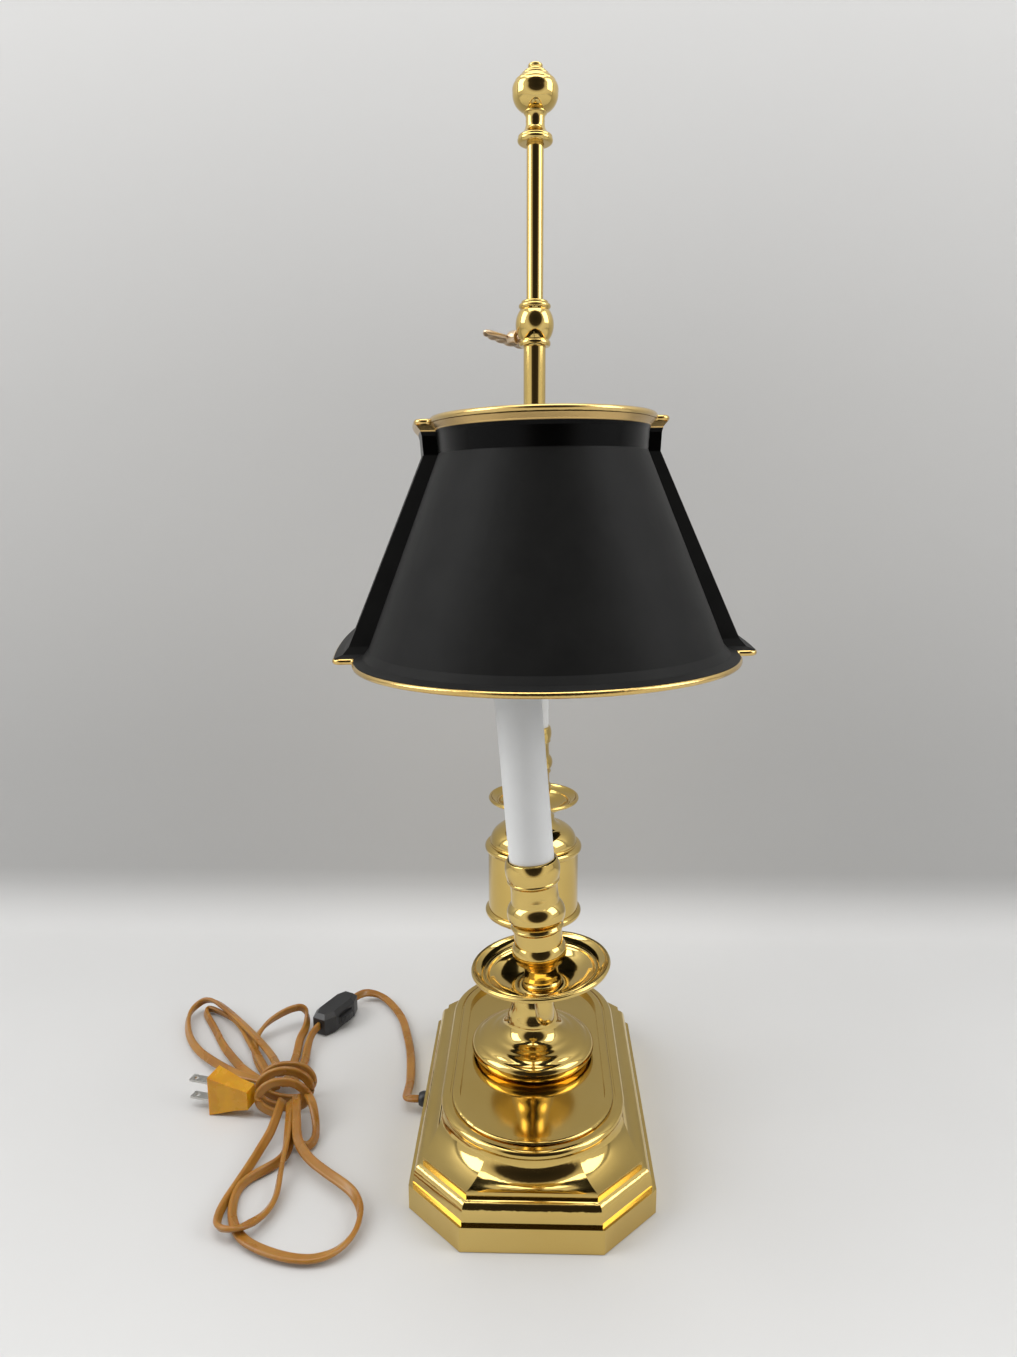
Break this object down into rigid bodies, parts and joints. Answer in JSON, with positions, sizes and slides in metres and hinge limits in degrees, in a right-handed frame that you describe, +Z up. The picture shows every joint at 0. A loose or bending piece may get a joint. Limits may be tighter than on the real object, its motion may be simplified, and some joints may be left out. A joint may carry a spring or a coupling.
{
  "type": "bouillotte lamp",
  "caption": "Two-light bouillotte table lamp: weighted octagonal brass base, candle arms, adjustable black metal shade on a guide rod, cord with in-line switch and plug.",
  "frame": {"origin": "on the table, under the guide rod's axis, at the centre of the base", "axes": "+Z up, X along the two candle arms with the loosened arm at -X, +Y towards the side where the cord leaves the base"},
  "size_m": [0.3648, 0.4037, 0.6412],
  "materials": {
    "brass_polished": "polished and lacquered",
    "shade_black": "matt enamel",
    "gilt_wire": "polished",
    "sleeve_white": "smooth",
    "steel": "plated",
    "iron": "as cast",
    "felt_green": "felt",
    "board": "plain",
    "porcelain": "glazed",
    "bulb_glass": "frosted",
    "cord_gold": "clear gold vinyl",
    "black_plastic": "moulded",
    "nickel": "plated"
  },
  "bodies": {
    "lamp": {"base_shell": "brass_polished", "base_felt": "felt_green", "base_board": "board", "base_weight": "iron", "base_washer": "steel", "base_nut": "steel", "center_pipe": "steel", "column_foot": "brass_polished", "column_stem": "brass_polished", "drum_pan": "brass_polished", "drum_body": "brass_polished", "drum_lid": "brass_polished", "guide_rod": "brass_polished", "finial": "brass_polished", "arm_front": "brass_polished", "arm_back": "brass_polished", "arm_nut_front": "steel", "arm_nut_back": "steel", "drip_pan_front": "brass_polished", "drip_pan_back": "brass_polished", "candle_cup_front": "brass_polished", "candle_cup_back": "brass_polished", "candle_sleeve_front": "sleeve_white", "candle_sleeve_back": "sleeve_white", "candle_nipple_front": "steel", "candle_nipple_back": "steel", "lampholder_front": "porcelain", "lampholder_back": "porcelain", "bulb_base_front": "nickel", "bulb_base_back": "nickel", "bulb_front": "bulb_glass", "bulb_back": "bulb_glass", "cord_bushing": "black_plastic", "cord_lead": "cord_gold", "cord_tail": "cord_gold", "cord_knot": "cord_gold", "cord_loops_back": "cord_gold", "cord_loops_front": "cord_gold", "switch_base": "black_plastic", "switch_cover": "black_plastic", "switch_screw": "nickel", "plug_body": "cord_gold", "plug_blades": "nickel"},
    "carriage": {"slide_collar": "brass_polished", "slide_tube": "brass_polished", "spider_nut": "brass_polished"},
    "shade": {"spider": "brass_polished", "shade_body": "shade_black", "shade_bottom_bead": "gilt_wire", "shade_top_bead": "gilt_wire"},
    "key": {"thumb_key": "brass_polished"},
    "wheel": {"switch_wheel": "black_plastic"}
  },
  "joints": [
    {"name": "shade_slide", "type": "slide", "parent": "lamp", "child": "carriage", "axis": [0, 0, 1], "range_m": [-0.01, 0.078]},
    {"name": "shade_swivel", "type": "hinge", "parent": "carriage", "child": "shade", "pos_m": [0, 0, 0.436], "axis": [0, 0, 1], "range_deg": [-8, 3]},
    {"name": "key_turn", "type": "hinge", "parent": "carriage", "child": "key", "pos_m": [0, 0, 0.5], "axis": [0.6428, 0.766, 0], "range_deg": [0, 360]},
    {"name": "switch_turn", "type": "hinge", "parent": "lamp", "child": "wheel", "pos_m": [0.10706, 0.15194, 0.0085], "axis": [0, 0, 1], "continuous": true}
  ]
}
